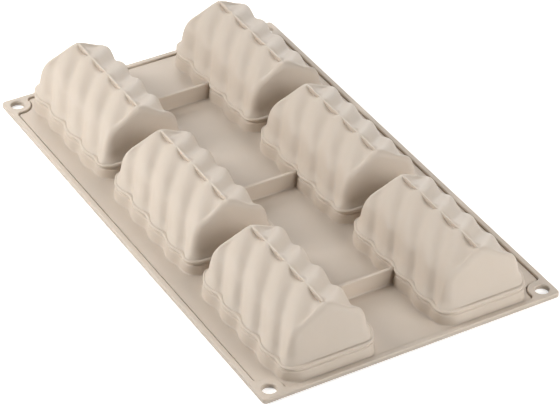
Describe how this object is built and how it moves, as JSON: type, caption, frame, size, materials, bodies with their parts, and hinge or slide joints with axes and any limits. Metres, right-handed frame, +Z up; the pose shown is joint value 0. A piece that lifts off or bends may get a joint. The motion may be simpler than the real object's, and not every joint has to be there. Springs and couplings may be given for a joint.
{
  "type": "silicone baking mould",
  "caption": "Flexible silicone baking mould: a rimmed sheet with rows of fluted log cavities under pitched roofs, joined by ribs, with hanging holes in its corners.",
  "frame": {"origin": "middle of the tray on the table, with the mould lying mouths down as pictured", "axes": "+X along the long side towards the near row, +Y across towards the right column, +Z up out of the cavities' ridges"},
  "size_m": [0.3, 0.175, 0.0387],
  "materials": {
    "silicone": "matte moulded food silicone, beige"
  },
  "bodies": {
    "root": {"base_sheet": "silicone", "rim_left": "silicone", "rim_right": "silicone", "rim_far": "silicone", "rim_near": "silicone", "eyelet_far_left": "silicone", "eyelet_far_right": "silicone", "eyelet_near_left": "silicone", "eyelet_near_right": "silicone", "skirt_far_left": "silicone", "flute_shell_far_left": "silicone", "ridge_fin_far_left": "silicone", "skirt_far_right": "silicone", "flute_shell_far_right": "silicone", "ridge_fin_far_right": "silicone", "skirt_middle_left": "silicone", "flute_shell_middle_left": "silicone", "ridge_fin_middle_left": "silicone", "skirt_middle_right": "silicone", "flute_shell_middle_right": "silicone", "ridge_fin_middle_right": "silicone", "skirt_near_left": "silicone", "flute_shell_near_left": "silicone", "ridge_fin_near_left": "silicone", "skirt_near_right": "silicone", "flute_shell_near_right": "silicone", "ridge_fin_near_right": "silicone", "cross_rib_far": "silicone", "cross_rib_middle": "silicone", "cross_rib_near": "silicone"}
  },
  "joints": []
}
